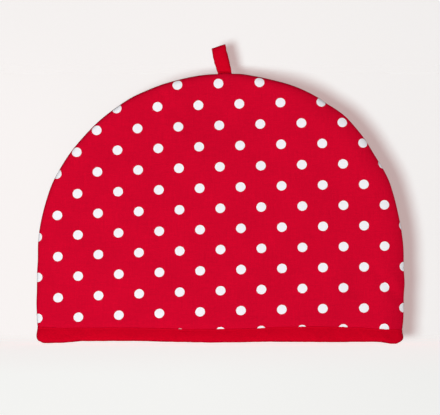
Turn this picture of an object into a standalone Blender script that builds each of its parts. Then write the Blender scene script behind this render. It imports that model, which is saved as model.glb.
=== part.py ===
"""Padded tea cosy: two arched, wadded panels sewn together round the top and
sides, open at the bottom, with a bias binding round the hem and a small loop
of tape caught in the seam at the top.

Metres, +Z up.  The cosy stands on its hem: the width runs along X, the front
panel faces -Y, the seam between the panels lies in the plane y = 0, and the
hem touches z = 0.  The origin is the middle of the footprint.
"""

import math

import bmesh
import bpy

MM = 0.001

# ---------------------------------------------------------------- sizes ----

CROWN = 263.5 * MM          # hem line to the top of the arched seam
GAP = 0.3 * MM              # clearance kept between neighbouring pieces

# The arched seam line, one row for each side, in millimetres: straight up
# from the hem to the spring, then a rounded arch to the crown.
#   side, half_width, spring_height, width_power, height_power
ARCH = (
    ("right", 178.5, 73.5, 2.209, 2.214),
    ("left", 179.8, 75.3, 1.893, 2.208),
)

# Soft swells and flats along the sewn arch: bearing from the middle of the
# hem (0 = right corner, 180 = left corner), how far out, how wide.
#   bearing_deg, out_mm, spread_deg
SEAM_SWELLS = (
    (4.0, -1.0, 3.0),
    (18.5, 1.0, 3.0),
    (28.0, 0.45, 3.5),
    (37.0, -0.4, 3.0),
    (44.0, 0.4, 2.0),
    (51.0, -1.4, 3.5),
    (61.5, 0.9, 2.5),
    (66.5, -0.6, 1.5),
    (79.0, -0.5, 3.0),
    (86.0, 0.7, 2.0),
    (99.0, -0.3, 2.5),
    (110.0, 0.5, 2.5),
    (123.5, -0.45, 4.0),
    (136.5, 0.55, 3.0),
    (155.0, -0.85, 3.0),
    (167.5, 0.45, 3.0),
    (177.0, 0.5, 2.0),
)

# Padded panels.
PANEL_THICK = 7.0 * MM      # cloth, wadding and lining together
EDGE_DEPTH = 7.5 * MM       # half depth of the padded edge behind its rounding
EDGE_ROUND = 16.0 * MM      # how far in from the seam the edge is rounded over
SEAM_STRIP = 11.0 * MM      # width over which the two panels lie together
HEM_SPREAD = 26.5 * MM      # how far each hem middle stands out when opened
SPREAD_POWER = 1.6          # how that spread dies away towards the crown
SPINE_FOOT = 74.4 * MM      # the middle line that the ribs fan from
SPINE_TOP = 190.0 * MM

# Hem binding.
TAPE = 1.4 * MM             # folded bias strip, one leg
TUCK = TAPE + GAP           # how far the panel is drawn in under the binding
HEM_THIN = 1.3 * MM         # the same on the inside of the panel

# Lower edge of the hem and upper edge of its binding, across the cosy.  The
# lower edge is pressed flat on the table where rise is 0.
#   across_mm, rise_mm, band_top_mm
HEM_FRONT = (
    (-181.0, 6.5, 15.6),
    (-178.0, 3.0, 15.5),
    (-173.5, 0.2, 15.4),
    (-170.5, 0.0, 15.3),
    (-162.5, 0.0, 15.3),
    (-153.0, 0.5, 15.2),
    (-142.0, 2.3, 15.0),
    (-100.0, 2.8, 14.8),
    (-62.0, 2.7, 14.4),
    (-46.0, 1.6, 14.2),
    (-34.0, 1.2, 14.1),
    (-23.0, 0.0, 14.1),
    (2.0, 0.0, 14.2),
    (20.0, 1.4, 14.7),
    (60.0, 2.3, 15.7),
    (95.0, 1.8, 15.8),
    (138.0, 2.1, 15.2),
    (157.0, 2.1, 13.6),
    (163.0, 1.3, 13.2),
    (167.0, 0.0, 13.2),
    (172.4, 0.0, 13.3),
    (176.0, 1.4, 13.5),
    (178.5, 3.0, 13.6),
    (180.5, 6.0, 13.6),
)
HEM_BACK = (
    (-181.0, 6.5, 15.6),
    (-178.0, 3.0, 15.5),
    (-173.0, 0.4, 15.3),
    (-165.0, 0.0, 15.0),
    (-150.0, 0.0, 14.6),
    (-128.0, 1.5, 14.5),
    (-104.0, 1.8, 14.8),
    (-80.0, 0.4, 14.4),
    (-62.0, 0.0, 14.0),
    (-20.0, 0.0, 13.9),
    (30.0, 0.0, 14.1),
    (46.0, 0.7, 14.4),
    (84.0, 1.9, 15.0),
    (118.0, 1.2, 14.9),
    (140.0, 0.0, 14.1),
    (164.0, 0.0, 13.6),
    (170.0, 0.4, 13.4),
    (176.0, 1.4, 13.5),
    (178.5, 3.0, 13.6),
    (180.5, 6.0, 13.6),
)

# Broad soft hollows (+) and fullness (-) in the padded faces.
#   across_mm, up_mm, depth_mm, spread_across_mm, spread_up_mm
FRONT_SPOTS = (
    (-96.0, 178.0, 0.9, 34.0, 26.0),
    (-8.0, 228.0, 0.7, 46.0, 18.0),
    (142.0, 62.0, 0.9, 26.0, 30.0),
    (-150.0, 52.0, 0.6, 22.0, 30.0),
    (34.0, 118.0, -1.0, 60.0, 46.0),
    (-64.0, 60.0, -0.7, 48.0, 34.0),
)
BACK_SPOTS = (
    (104.0, 160.0, 1.0, 36.0, 30.0),
    (-60.0, 210.0, 0.7, 42.0, 20.0),
    (-136.0, 84.0, 0.8, 28.0, 34.0),
    (10.0, 64.0, 0.9, 46.0, 26.0),
    (52.0, 110.0, -0.8, 44.0, 40.0),
)

# Loop of tape: one strip folded over, its two ends caught in the top seam.
# Each row is a level of both legs: height over the crown, middle of the
# width, width, slope of the width line, half opening between the legs.
#   up_mm, across_mm, width_mm, tilt_deg, half_gap_mm
LOOP = (
    (0.0, 3.6, 12.8, 0.0, 0.15),
    (5.0, 2.4, 13.4, 4.0, 1.5),
    (10.5, 0.9, 13.8, 8.0, 2.7),
    (16.0, -0.4, 13.8, 12.0, 3.2),
    (21.0, -1.7, 13.4, 16.0, 3.0),
)
LOOP_THICK = 1.2 * MM
FOLD_UP_MM = 25.4           # middle of the cloth at the fold, over the crown
FOLD_ACROSS_MM = -2.7
FOLD_TILT_DEG = 19.0
FOLD_STEPS = 6

# Mesh divisions.
LOW_ROWS_MM = (30.0, 44.0, 59.0)                 # level rows over the hem
FAN_STEPS = 13                                   # ribs from spring to crown
EDGE_COLUMNS_MM = (25.0, 16.0, 10.5, 6.5, 3.6, 1.6, 0.5, 0.0)   # from the seam
FACE_COLUMNS = 7                                 # from the spine to the edge
LAST = FACE_COLUMNS + len(EDGE_COLUMNS_MM) - 1


# ------------------------------------------------------------ functions ----

def ease(rows, column, x_mm):
    """Value of a table's column at x_mm, eased from row to row."""
    if x_mm <= rows[0][0]:
        return rows[0][column]
    for low, high in zip(rows, rows[1:]):
        if x_mm <= high[0]:
            t = (x_mm - low[0]) / (high[0] - low[0])
            t = t * t * (3.0 - 2.0 * t)
            return low[column] + (high[column] - low[column]) * t
    return rows[-1][column]


def swell(x, z):
    """How far the sewn arch stands out at the bearing of (x, z)."""
    bearing = math.degrees(math.atan2(z, x))
    return MM * sum(
        out * math.exp(-(((bearing - at) / spread) ** 2))
        for at, out, spread in SEAM_SWELLS
    )


def arch_row(half):
    return ARCH[0] if half > 0 else ARCH[1]


def half_width(half, z):
    """Half width of the cosy at height z on the right (+1) or left (-1)."""
    _, width, spring, power_x, power_z = arch_row(half)
    width, spring = width * MM, spring * MM
    if z <= spring:
        x = width
    else:
        t = min(1.0, (z - spring) / (CROWN - spring))
        x = width * (1.0 - t ** power_z) ** (1.0 / power_x)
    return x


def arch_points(half, steps):
    """Points along the arch from the spring to the crown, evenly spaced."""
    _, width, spring, power_x, power_z = arch_row(half)
    width, spring = width * MM, spring * MM
    fine = []
    count = 400
    for i in range(count + 1):
        a = 0.5 * math.pi * i / count
        x = width * math.cos(a) ** (2.0 / power_x)
        z = spring + (CROWN - spring) * math.sin(a) ** (2.0 / power_z)
        fine.append((x if i < count else 0.0, z))
    run = [0.0]
    for a, b in zip(fine, fine[1:]):
        run.append(run[-1] + math.dist(a, b))
    points, j = [], 0
    for s in range(steps + 1):
        want = run[-1] * s / steps
        while j < count - 1 and run[j + 1] < want:
            j += 1
        t = (want - run[j]) / (run[j + 1] - run[j])
        x = fine[j][0] + (fine[j + 1][0] - fine[j][0]) * t
        z = fine[j][1] + (fine[j + 1][1] - fine[j][1]) * t
        points.append((half * x, z))
    return points


def standing_out(u, z, tall=CROWN):
    """How far the opened face stands out, u of the way out at height z."""
    u = min(1.0, max(0.0, u))
    z = min(1.0, max(0.0, z / tall))
    return HEM_SPREAD * math.cos(0.5 * math.pi * u) * (1.0 - z ** SPREAD_POWER)


def rounding(d, reach):
    """Quarter-ellipse rise from 0 on the outline to 1 at reach from it."""
    t = min(1.0, max(0.0, d / reach))
    return math.sqrt(1.0 - (1.0 - t) ** 2)


def spots(panel, x, z, d):
    """Depth of the soft hollows, none at the seam or in the hem."""
    fade = rounding(d - 4.0 * MM, 30.0 * MM)
    fade *= min(1.0, max(z, 0.0) / (40.0 * MM)) ** 2
    return fade * MM * sum(
        depth
        * math.exp(-(((x / MM - at) / wide) ** 2) - (((z / MM - up) / tall) ** 2))
        for at, up, depth, wide, tall in (FRONT_SPOTS if panel < 0 else BACK_SPOTS)
    )


def columns(length):
    """Distances from the spine to each column of a rib of this length."""
    inner = length - EDGE_COLUMNS_MM[0] * MM
    face = [inner * k / FACE_COLUMNS for k in range(FACE_COLUMNS)]
    return face + [length - d * MM for d in EDGE_COLUMNS_MM]


def outer_depth(panel, x, z, d, u, inset=0.0):
    """Half depth to the outer cloth, d in from its outline."""
    depth = (EDGE_DEPTH - inset) * rounding(d, EDGE_ROUND) + standing_out(u, z)
    return depth - spots(panel, x, z, d)


def inner_depth(z, d, u, thin=0.0, into=0.0, tall=CROWN):
    """Half depth to the lining side, thinner by thin, moved in by into."""
    depth = (EDGE_DEPTH - PANEL_THICK + thin - into) * rounding(d, 8.0 * MM)
    return depth + standing_out(u, z, tall)


def hem_table(panel):
    return HEM_FRONT if panel < 0 else HEM_BACK


def hem_rows(panel, x):
    """The level rows of a panel at its hem: height and share of the tuck."""
    low = ease(hem_table(panel), 1, x / MM) * MM
    top = ease(hem_table(panel), 2, x / MM) * MM
    return (
        (low + TAPE + GAP, 1.0),
        (top + 0.1 * MM, 1.0),
        (top + 2.2 * MM, 0.2),
        (top + 6.0 * MM, 0.0),
    )


def outer_hem_point(panel, half, column, z, inset):
    """Point on a level line of the hem, inset from the outer cloth."""
    outline = half * half_width(half, z)
    width = abs(outline) + swell(outline, max(z, 0.0)) - inset
    x = columns(width)[column]
    return half * x, outer_depth(panel, half * x, z, width - x, x / width, inset)


def inner_hem_point(half, column, z, thin, into):
    """The same on the lining side, moved into the hollow by into."""
    outline = half * half_width(half, z)
    width = abs(outline) + swell(outline, max(z, 0.0))
    width -= SEAM_STRIP + 2.6 * into
    x = columns(width)[column]
    return half * x, inner_depth(z, width - x, x / width, thin, into)


def ribs(half):
    """Spine height and outline point of each rib over the hem rows."""
    rows = []
    for z_mm in LOW_ROWS_MM:
        x = half * half_width(half, z_mm * MM)
        x += half * swell(x, z_mm * MM)
        rows.append((z_mm * MM, x, z_mm * MM))
    for step, (x, z) in enumerate(arch_points(half, FAN_STEPS)):
        share = (step / FAN_STEPS) ** 0.9
        out = swell(x, z) / math.hypot(x, z)
        foot = SPINE_FOOT + (SPINE_TOP - SPINE_FOOT) * share
        rows.append((foot, x * (1.0 + out), z * (1.0 + out)))
    return rows


def rib_line(panel, half, rib, inner):
    """Points of one rib, from the spine out to the outline."""
    foot, out_x, out_z = rib
    length = math.hypot(out_x, out_z - foot)
    ux, uz = out_x / length, (out_z - foot) / length
    inset = SEAM_STRIP if inner else 0.0
    length -= inset
    line = []
    for s in columns(length):
        x, z, d = ux * s, foot + uz * s, length - s
        u = 1.0 if d < 1e-9 else abs(x) / max(half_width(half, z) - inset, 1e-6)
        if inner:
            y = 0.5 * GAP + inner_depth(z, d, u, tall=CROWN - inset)
        else:
            y = max(0.5 * GAP, outer_depth(panel, x, z, d, u))
        line.append((x, y, z))
    return line


def hem_line(panel, half, row, inner):
    """Points of one level row at the hem, from the spine out."""
    line = []
    for column in range(LAST + 1):
        at = half * columns(half_width(half, 0.0))[column]
        z, tuck = hem_rows(panel, at)[row]
        if inner:
            x, y = inner_hem_point(half, column, z, HEM_THIN * tuck, 0.0)
            y += 0.5 * GAP
        else:
            x, y = outer_hem_point(panel, half, column, z, TUCK * tuck)
            y = max(0.5 * GAP, y)
        line.append((x, y, z))
    return line


def new_object(name, mesh, colour, roughness):
    mesh.name = name
    mesh.shade_smooth()
    mesh.set_sharp_from_angle(angle=math.radians(50.0))
    material = bpy.data.materials.new(name)
    material.use_nodes = True
    shader = material.node_tree.nodes["Principled BSDF"]
    shader.inputs["Base Color"].default_value = (*colour, 1.0)
    shader.inputs["Roughness"].default_value = roughness
    shader.inputs["Metallic"].default_value = 0.0
    mesh.materials.append(material)
    obj = bpy.data.objects.new(name, mesh)
    bpy.context.scene.collection.objects.link(obj)
    return obj


def closed_mesh(bm, name):
    bmesh.ops.recalc_face_normals(bm, faces=bm.faces)
    if bm.calc_volume(signed=True) < 0.0:
        bmesh.ops.reverse_faces(bm, faces=bm.faces)
    mesh = bpy.data.meshes.new(name)
    bm.to_mesh(mesh)
    bm.free()
    return mesh


# --------------------------------------------------------------- pieces ----

def make_panel(name, panel, centre_x, colour):
    """One wadded panel: outer cloth, lining side, seam strip and hem edge.

    Both faces are grids of ribs that run from a middle line (the spine) to
    the arched outline: level rows over the hem, then a fan to the crown.
    """
    bm = bmesh.new()
    grids = []
    for inner in (False, True):
        right, left = (
            [hem_line(panel, half, row, inner) for row in range(4)]
            + [rib_line(panel, half, rib, inner) for rib in ribs(half)]
            for half in (1, -1)
        )
        count = len(right)
        total = 2 * count - 1
        grid = []
        for i in range(total):
            twin = total - 1 - i
            source = right[i] if i < count else left[twin]
            if i < count:                            # the halves share a spine
                spine = [0.5 * (a + b) for a, b in zip(right[i][0], left[i][0])]
                first = bm.verts.new((-centre_x, panel * spine[1], spine[2]))
            else:
                first = grid[twin][0]
            grid.append(
                [first]
                + [bm.verts.new((x - centre_x, panel * y, z)) for x, y, z in source[1:]]
            )
        for a, b in zip(grid, grid[1:]):
            for k in range(LAST):
                bm.faces.new((a[k], a[k + 1], b[k + 1], b[k]))
        grids.append(grid)

    outer, lining = grids
    for i in range(len(outer) - 1):                  # seam strip
        bm.faces.new((outer[i][LAST], outer[i + 1][LAST],
                      lining[i + 1][LAST], lining[i][LAST]))
    for i in (0, -1):                                # lower edge, in the hem
        for k in range(LAST):
            bm.faces.new((outer[i][k], outer[i][k + 1],
                          lining[i][k + 1], lining[i][k]))
    return new_object(name, closed_mesh(bm, name), colour, 0.85)


def make_binding(name, centre_x, colour):
    """Bias strip folded round the hem: a channel swept round the opening."""
    bm = bmesh.new()
    stations = [(-1, 1, k) for k in range(LAST, 0, -1)]
    stations += [(-1, -1, k) for k in range(0, LAST + 1)]
    stations += [(1, -1, k) for k in range(LAST - 1, 0, -1)]
    stations += [(1, 1, k) for k in range(0, LAST)]
    rings = []
    for panel, half, column in stations:
        at = half * columns(half_width(half, 0.0))[column] / MM
        low = ease(hem_table(panel), 1, at) * MM
        top = ease(hem_table(panel), 2, at) * MM
        # the channel's corners: which leg, how far drawn in, height
        profile = (
            ("outer", 0.4 * MM, top),
            ("outer", 0.0, top - 0.7 * MM),
            ("outer", 0.0, low + 2.4 * MM),
            ("outer", 0.5 * MM, low + 0.8 * MM),
            ("outer", 1.8 * MM, low),
            ("inner", TUCK - 1.8 * MM, low),
            ("inner", TUCK - 0.5 * MM, low + 0.8 * MM),
            ("inner", TUCK, low + 2.4 * MM),
            ("inner", TUCK, top - 0.7 * MM),
            ("inner", TUCK - 0.4 * MM, top),
            ("inner", GAP, top),
            ("inner", GAP, low + TAPE),
            ("outer", TAPE, low + TAPE),
            ("outer", TAPE, top),
        )
        ring = []
        for leg, inset, z in profile:
            if leg == "outer":
                points = [outer_hem_point(panel, h, column, z, inset) for h in (1, -1)]
            else:
                points = [inner_hem_point(h, column, z, HEM_THIN, inset) for h in (1, -1)]
            x, y = points[0 if half > 0 else 1]
            if column == 0:                          # the halves share a middle
                x, y = 0.0, 0.5 * (points[0][1] + points[1][1])
            if column == LAST:                       # the strip turns the corner
                y = 0.0
            ring.append(bm.verts.new((x - centre_x, panel * y, z)))
        rings.append(ring)
    for a, b in zip(rings, rings[1:] + rings[:1]):
        for i in range(len(a)):
            j = (i + 1) % len(a)
            bm.faces.new((a[i], a[j], b[j], b[i]))
    return new_object(name, closed_mesh(bm, name), colour, 0.8)


def make_loop(name, centre_x, colour):
    """Tape bent into a narrow teardrop, fold at the top, ends at the seam."""
    half_thick = 0.5 * LOOP_THICK
    under = [
        z + swell(x, z) * z / math.hypot(x, z)
        for half in (1, -1)
        for x, z in arch_points(half, 60)
        if -6.0 * MM < x < 12.0 * MM
    ]
    base = max(under) + GAP
    stations = []                        # across, depth, height, tilt, width
    for up, across, width, tilt, gap in LOOP:
        stations.append((across, -gap * MM - half_thick, up, tilt, width))
    up, across, width, tilt, gap = LOOP[-1]
    for step in range(1, FOLD_STEPS):
        turn = math.pi * step / FOLD_STEPS
        t = math.sin(turn)
        stations.append(
            (
                across + (FOLD_ACROSS_MM - across) * t,
                -(gap * MM + half_thick) * math.cos(turn),
                up + (FOLD_UP_MM - up) * t,
                tilt + (FOLD_TILT_DEG - tilt) * t,
                width,
            )
        )
    for up, across, width, tilt, gap in reversed(LOOP):
        stations.append((across, gap * MM + half_thick, up, tilt, width))

    bm = bmesh.new()
    rings = []
    for i, (across, y, up, tilt, width) in enumerate(stations):
        before = stations[max(i - 1, 0)]
        after = stations[min(i + 1, len(stations) - 1)]
        dy, dz = after[1] - before[1], (after[2] - before[2]) * MM
        if i in (0, len(stations) - 1):  # the ends stand square on the seam
            dy, dz = 0.0, math.copysign(1.0, dz)
        size = math.hypot(dy, dz)
        a = math.radians(tilt)
        wide = (math.cos(a), 0.0, math.sin(a))
        out = (-math.sin(a) * dy / size, -dz / size, math.cos(a) * dy / size)
        middle = (across * MM, y, base + up * MM)
        ring = []
        for side, face in ((-1, 1), (1, 1), (1, -1), (-1, -1)):
            x, yy, z = (
                m + 0.5 * side * width * MM * w + face * half_thick * n
                for m, w, n in zip(middle, wide, out)
            )
            ring.append(bm.verts.new((x - centre_x, yy, z)))
        rings.append(ring)
    for a, b in zip(rings, rings[1:]):
        for i in range(4):
            j = (i + 1) % 4
            bm.faces.new((a[i], a[j], b[j], b[i]))
    bm.faces.new(rings[0])
    bm.faces.new(rings[-1])
    return new_object(name, closed_mesh(bm, name), colour, 0.8)


def outline_limits():
    """Lowest and highest x of the whole outline."""
    reach = {}
    for half in (1, -1):
        width = half_width(half, 0.0)
        best = 0.0
        for i in range(0, 160):
            z = i * MM
            x = half * half_width(half, z)
            best = max(best, abs(x) + swell(x, z) * abs(x) / math.hypot(x, z))
        reach[half] = max(best, width)
    return -reach[-1], reach[1]


def main():
    for obj in list(bpy.data.objects):
        bpy.data.objects.remove(obj, do_unlink=True)
    low, high = outline_limits()
    centre_x = 0.5 * (low + high)
    panel_red = (0.60, 0.004, 0.024)
    tape_red = (0.56, 0.002, 0.017)
    make_panel("front_panel", -1, centre_x, panel_red)
    make_panel("back_panel", 1, centre_x, panel_red)
    make_binding("hem_binding", centre_x, tape_red)
    make_loop("top_loop", centre_x, tape_red)


main()
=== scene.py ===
"""Looks for the padded tea cosy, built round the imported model.

Two arched, wadded panels of dotted cotton, a bias binding with its row of
stitching round the hem, and a small loop of folded tape in the top seam.
Metres, +Z up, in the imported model's own frame.
"""

import math

import bpy  # noqa: E402
import numpy as np  # noqa: E402
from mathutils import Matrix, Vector, noise  # noqa: E402


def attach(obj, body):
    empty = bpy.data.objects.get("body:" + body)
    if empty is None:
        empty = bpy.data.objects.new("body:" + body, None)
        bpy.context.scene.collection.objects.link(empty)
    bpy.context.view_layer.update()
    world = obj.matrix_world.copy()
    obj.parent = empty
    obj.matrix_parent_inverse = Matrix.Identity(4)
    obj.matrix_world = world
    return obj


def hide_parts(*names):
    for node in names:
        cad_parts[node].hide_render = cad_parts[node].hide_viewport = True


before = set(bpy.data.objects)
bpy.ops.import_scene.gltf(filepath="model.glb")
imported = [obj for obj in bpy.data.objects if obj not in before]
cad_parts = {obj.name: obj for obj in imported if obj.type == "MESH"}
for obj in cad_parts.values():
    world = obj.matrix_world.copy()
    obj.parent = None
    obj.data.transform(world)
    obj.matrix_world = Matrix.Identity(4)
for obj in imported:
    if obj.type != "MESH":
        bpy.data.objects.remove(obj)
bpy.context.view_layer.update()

MM = 0.001

# ------------------------------------------------- sizes, as in the model --

CROWN = 263.5
GAP = 0.3
ARCH = {1: (178.5, 73.5, 2.209, 2.214), -1: (179.8, 75.3, 1.893, 2.208)}
SEAM_SWELLS = (
    (4.0, -1.0, 3.0), (18.5, 1.0, 3.0), (28.0, 0.45, 3.5), (37.0, -0.4, 3.0),
    (44.0, 0.4, 2.0), (51.0, -1.4, 3.5), (61.5, 0.9, 2.5), (66.5, -0.6, 1.5),
    (79.0, -0.5, 3.0), (86.0, 0.7, 2.0), (99.0, -0.3, 2.5), (110.0, 0.5, 2.5),
    (123.5, -0.45, 4.0), (136.5, 0.55, 3.0), (155.0, -0.85, 3.0),
    (167.5, 0.45, 3.0), (177.0, 0.5, 2.0),
)
PANEL_THICK, EDGE_DEPTH, EDGE_ROUND, SEAM_STRIP = 7.0, 7.5, 16.0, 11.0
HEM_SPREAD, SPREAD_POWER, SPINE_FOOT, SPINE_TOP = 26.5, 1.6, 74.4, 190.0
TAPE, HEM_THIN = 1.4, 1.3
TUCK = TAPE + GAP
WRAP = 0.42                # how much of its depth the tape takes at the seams
HEM = {
    -1: (
        (-181.0, 5.6, 16.4), (-178.4, 2.4, 16.4), (-175.0, 0.9, 16.3),
        (-171.5, 0.7, 16.2), (-166.5, 0.9, 15.9), (-158.0, 1.0, 15.6),
        (-148.0, 1.5, 15.4), (-138.0, 2.7, 15.7), (-100.0, 2.9, 16.0),
        (-74.0, 2.9, 15.8), (-60.0, 2.4, 15.5), (-46.0, 2.0, 15.0),
        (-34.0, 2.1, 14.8), (-12.0, 1.5, 14.7), (12.0, 1.6, 14.9),
        (30.0, 2.0, 15.3), (60.0, 2.4, 16.8), (92.0, 1.8, 17.1),
        (112.0, 1.9, 16.8), (134.0, 2.0, 16.2), (157.0, 1.9, 14.6),
        (161.5, 1.6, 14.2), (164.8, 0.4, 14.2), (167.0, 0.0, 14.2),
        (172.4, 0.0, 14.2), (175.2, 1.3, 14.1), (176.8, 2.6, 14.0),
        (178.8, 4.2, 13.8), (180.5, 6.4, 13.7),
    ),
    1: (
        (-181.0, 5.6, 15.6), (-178.4, 2.5, 15.5), (-175.0, 0.5, 15.4),
        (-171.5, 0.5, 15.3), (-162.0, 0.8, 15.0), (-150.0, 1.6, 14.6),
        (-138.0, 2.8, 14.5), (-104.0, 2.8, 14.8), (-80.0, 2.4, 14.4),
        (-62.0, 1.9, 14.0), (-40.0, 1.3, 13.9), (-20.0, 0.9, 13.9),
        (14.0, 1.0, 14.1), (46.0, 1.6, 14.4), (84.0, 1.5, 15.0),
        (118.0, 1.3, 14.9), (136.0, 1.8, 14.1), (150.0, 2.2, 13.8),
        (157.0, 2.1, 13.7), (161.5, 1.6, 13.6), (165.5, 0.1, 13.6), (171.5, 0.0, 13.4),
        (175.2, 1.5, 13.5),
        (178.8, 4.2, 13.6), (180.5, 6.4, 13.6),
    ),
}
SPOTS = {
    -1: (
        (-96.0, 178.0, 0.9, 34.0, 26.0), (-8.0, 228.0, 0.7, 46.0, 18.0),
        (142.0, 62.0, 0.9, 26.0, 30.0), (-150.0, 52.0, 0.6, 22.0, 30.0),
        (34.0, 118.0, -1.0, 60.0, 46.0), (-64.0, 60.0, -0.7, 48.0, 34.0),
    ),
    1: (
        (104.0, 160.0, 1.0, 36.0, 30.0), (-60.0, 210.0, 0.7, 42.0, 20.0),
        (-136.0, 84.0, 0.8, 28.0, 34.0), (10.0, 64.0, 0.9, 46.0, 26.0),
        (52.0, 110.0, -0.8, 44.0, 40.0),
    ),
}
LOOP = (
    (0.0, 3.6, 12.8, 0.0, 0.15), (5.0, 2.4, 13.4, 4.0, 1.5),
    (10.5, 0.9, 13.8, 8.0, 2.7), (16.0, -0.4, 13.8, 12.0, 3.2),
    (21.0, -1.7, 13.4, 16.0, 3.0),
)
LOOP_THICK, FOLD_UP, FOLD_ACROSS, FOLD_TILT = 1.2, 26.5, -2.7, 19.0

# Print: rows of dots, each row set half a dot's spacing from the next.
DOT_WIDE, DOT_TALL, DOT_PITCH, ROW_PITCH = 9.45, 9.15, 40.0, 20.26

# Camera: a long lens, level, at half the height of the picture.
LENS, SENSOR = 1000.0, 36.0
PICTURE_WIDE = 430.32                         # width of the view at y = 0
AWAY = PICTURE_WIDE * LENS / SENSOR           # distance to y = 0
LOOK_X, LOOK_Z = -0.75, 133.3


# ------------------------------------------------------------- functions --

def smooth(t):
    t = np.clip(t, 0.0, 1.0)
    return t * t * (3.0 - 2.0 * t)


def ease(rows, column, x):
    table = np.array(rows, float)
    x = np.asarray(x, float)
    i = np.clip(np.searchsorted(table[:, 0], x) - 1, 0, len(table) - 2)
    t = smooth((x - table[i, 0]) / (table[i + 1, 0] - table[i, 0]))
    return table[i, column] + (table[i + 1, column] - table[i, column]) * t


def swell(x, z):
    bearing = np.degrees(np.arctan2(z, x))
    return sum(
        out * np.exp(-(((bearing - at) / spread) ** 2))
        for at, out, spread in SEAM_SWELLS
    )


def half_width(half, z):
    width, spring, power_x, power_z = ARCH[half]
    t = np.clip((np.asarray(z, float) - spring) / (CROWN - spring), 0.0, 1.0)
    return width * (1.0 - t ** power_z) ** (1.0 / power_x)


def arch(half, share):
    """Points of the plain arch at shares of its length, spring to crown."""
    width, spring, power_x, power_z = ARCH[half]
    a = 0.5 * math.pi * np.linspace(0.0, 1.0, 4001)
    x = width * np.cos(a) ** (2.0 / power_x)
    z = spring + (CROWN - spring) * np.sin(a) ** (2.0 / power_z)
    x[-1] = 0.0
    run = np.concatenate([[0.0], np.cumsum(np.hypot(np.diff(x), np.diff(z)))])
    return (
        half * np.interp(share * run[-1], run, x),
        np.interp(share * run[-1], run, z),
        run[-1],
    )


def standing_out(u, z, tall=CROWN):
    u = np.clip(u, 0.0, 1.0)
    z = np.clip(z / tall, 0.0, 1.0)
    return HEM_SPREAD * np.cos(0.5 * math.pi * u) * (1.0 - z ** SPREAD_POWER)


def rounding(d, reach, power=2.0):
    t = np.clip(d / reach, 0.0, 1.0)
    return (1.0 - (1.0 - t) ** power) ** (1.0 / power)


def edge_form(x, z):
    """Reach and fullness of the rounded edge at a point of the outline.

    The wadding fills the left side right out to the seam and falls away
    more slowly on the right.
    """
    bearing = np.degrees(np.arctan2(np.maximum(z, 0.0), x))
    table = ((0.0, 23.0, 1.8), (60.0, 21.0, 1.9), (92.0, 12.5, 3.8),
             (128.0, 10.0, 4.6), (180.0, 10.0, 4.8))
    return ease(table, 1, bearing), ease(table, 2, bearing)


def spots(panel, x, z, d):
    fade = rounding(d - 4.0, 30.0)
    fade = fade * np.clip(z / 40.0, 0.0, 1.0) ** 2
    return fade * sum(
        depth * np.exp(-(((x - at) / wide) ** 2) - (((z - up) / tall) ** 2))
        for at, up, depth, wide, tall in SPOTS[panel]
    )


def outer_depth(panel, x, z, d, u, inset, form):
    depth = (EDGE_DEPTH - inset) * rounding(d, *form) + standing_out(u, z)
    return depth - spots(panel, x, z, d)


def inner_depth(z, d, u, thin=0.0, into=0.0, tall=CROWN):
    depth = (EDGE_DEPTH - PANEL_THICK + thin - into) * rounding(d, 8.0)
    return depth + standing_out(u, z, tall)


def field(points, size, seed):
    """Smooth noise, about -1 to 1, with lumps of about that size."""
    shift = Vector((seed * 17.3, seed * -9.1, seed * 5.7))
    return np.array(
        [noise.noise(Vector(p) / size + shift) for p in points], float
    )


def outline_middle():
    z = np.arange(0.0, 160.0)
    reach = {}
    for half in (1, -1):
        x = half * half_width(half, z)
        out = np.abs(x) + swell(x, z) * np.abs(x) / np.hypot(x, z)
        reach[half] = max(out.max(), float(half_width(half, 0.0)))
    return 0.5 * (reach[1] - reach[-1])


MIDDLE = outline_middle()


# ------------------------------------------------------- columns and rows --

FACE_STEPS = 26
ANGLES = (0, 9, 18, 27, 36, 44, 51.5, 58, 64, 69, 73.5, 77.5, 80.5, 83, 85.5, 88, 90)
EDGE_D = [25.0, 22.0, 19.0] + [
    EDGE_ROUND * (1.0 - math.sin(math.radians(a))) for a in ANGLES
]
COLUMNS = FACE_STEPS + len(EDGE_D)


def columns(length):
    """Distances from the spine to each column of ribs of these lengths."""
    length = np.asarray(length, float)[..., None]
    face = (length - EDGE_D[0]) * np.arange(FACE_STEPS) / FACE_STEPS
    return np.concatenate([face, length - np.array(EDGE_D)], axis=-1)


HEM_SHARES = (0.0, 0.35, 0.7, 0.87)                       # inside the binding
STEP_UP = (0.1, 0.5, 0.9, 1.4, 2.0, 2.8, 3.7, 4.8, 6.0)   # just over it
TO_LEVEL = (0.12, 0.27, 0.45, 0.64, 0.83)           # up to 30 mm
LEVEL_STEPS = 27
FAN_STEPS = 196


def tuck_share(up, inner):
    """Share of the tuck this far over (or, minus, under) the binding's edge."""
    over = max(up, 0.0)
    if inner:
        return math.exp(-((over / 1.55) ** 1.35))
    return (1.0 - 0.26 * float(smooth(1.0 + up / 5.0))) * math.exp(-((over / 2.6) ** 1.2))


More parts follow.
